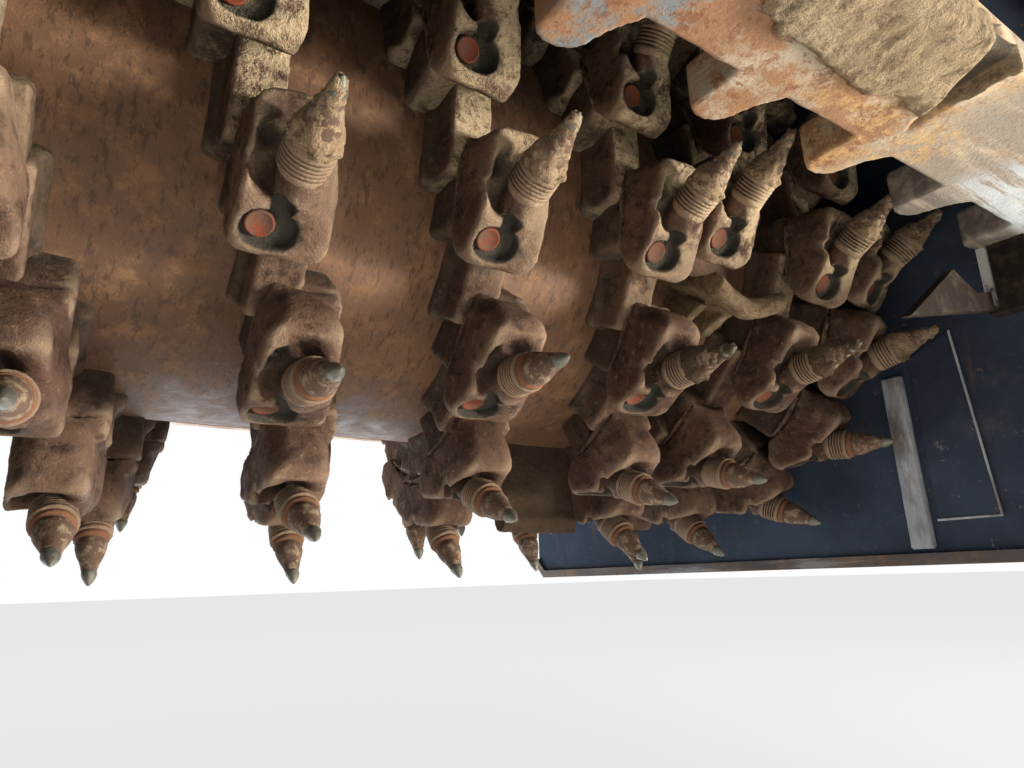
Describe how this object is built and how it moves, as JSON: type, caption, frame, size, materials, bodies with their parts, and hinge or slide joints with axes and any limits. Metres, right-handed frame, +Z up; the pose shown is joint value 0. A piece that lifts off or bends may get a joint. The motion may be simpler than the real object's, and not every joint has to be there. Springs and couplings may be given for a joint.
{
  "type": "milling drum unit",
  "caption": "Helical milling drum with conical picks on a steel tube, in a housing with floating side plates, a lifting moldboard and a swinging comb beam, hung by its top flange.",
  "frame": {"origin": "middle of the top flange's upper face, which bolts to the machine frame", "axes": "+X along the drum axis towards the gearbox end, -Y the travel direction towards the conveyor opening, +Z up out of the flange; the drum axis is 0.73 m below the origin"},
  "size_m": [1.618, 1.378, 1.222],
  "materials": {
    "housing_paint": "matt paint, scraped and dusty",
    "bright_steel": "worn bright",
    "rusted_steel": "rust brown with dry dust",
    "hub_iron": "dusty",
    "pick_steel": "worn steel with dirt",
    "cap_plastic": "matt",
    "worn_steel": "worn and rusty"
  },
  "bodies": {
    "housing": {"roof_shell": "housing_paint", "top_flange": "housing_paint", "crown_ribs": "housing_paint", "left_wall": "housing_paint", "right_wall": "housing_paint", "front_wall": "housing_paint", "conveyor_collar": "housing_paint", "rear_guides": "housing_paint", "rear_beam": "housing_paint", "gearbox": "housing_paint", "bearing_housing": "housing_paint", "drive_cover": "housing_paint", "spray_bar": "bright_steel", "moldboard_barrels": "housing_paint", "side_plate_barrels": "housing_paint", "beam_brackets": "housing_paint"},
    "drum": {"drum_tube": "rusted_steel", "drum_hub": "hub_iron", "left_flight_1": "rusted_steel", "left_flight_2": "rusted_steel", "left_flight_3": "rusted_steel", "right_flight_1": "rusted_steel", "right_flight_2": "rusted_steel", "right_flight_3": "rusted_steel", "left_picks": "pick_steel", "right_picks": "pick_steel", "pick_caps": "cap_plastic", "ejectors": "worn_steel"},
    "left_side": {"left_side_plate": "housing_paint", "left_skid": "worn_steel", "left_rods": "bright_steel"},
    "right_side": {"right_side_plate": "housing_paint", "right_skid": "worn_steel", "right_rods": "bright_steel"},
    "moldboard": {"moldboard": "housing_paint", "moldboard_edge": "worn_steel", "moldboard_rods": "bright_steel"},
    "comb": {"comb_beam": "worn_steel", "beam_arms": "worn_steel", "beam_gussets": "worn_steel"}
  },
  "joints": [
    {"name": "drum_spin", "type": "hinge", "parent": "housing", "child": "drum", "pos_m": [0, 0, -0.73], "axis": [-1, 0, 0], "continuous": true},
    {"name": "left_side_lift", "type": "slide", "parent": "housing", "child": "left_side", "axis": [0, 0, 1], "range_m": [-0.04, 0.15]},
    {"name": "right_side_lift", "type": "slide", "parent": "housing", "child": "right_side", "axis": [0, 0, 1], "range_m": [-0.04, 0.15]},
    {"name": "moldboard_lift", "type": "slide", "parent": "housing", "child": "moldboard", "axis": [0, 0, 1], "range_m": [-0.3, 0]},
    {"name": "comb_swing", "type": "hinge", "parent": "housing", "child": "comb", "pos_m": [0, -0.67, -0.716], "axis": [1, 0, 0], "range_deg": [-25, 0]}
  ]
}
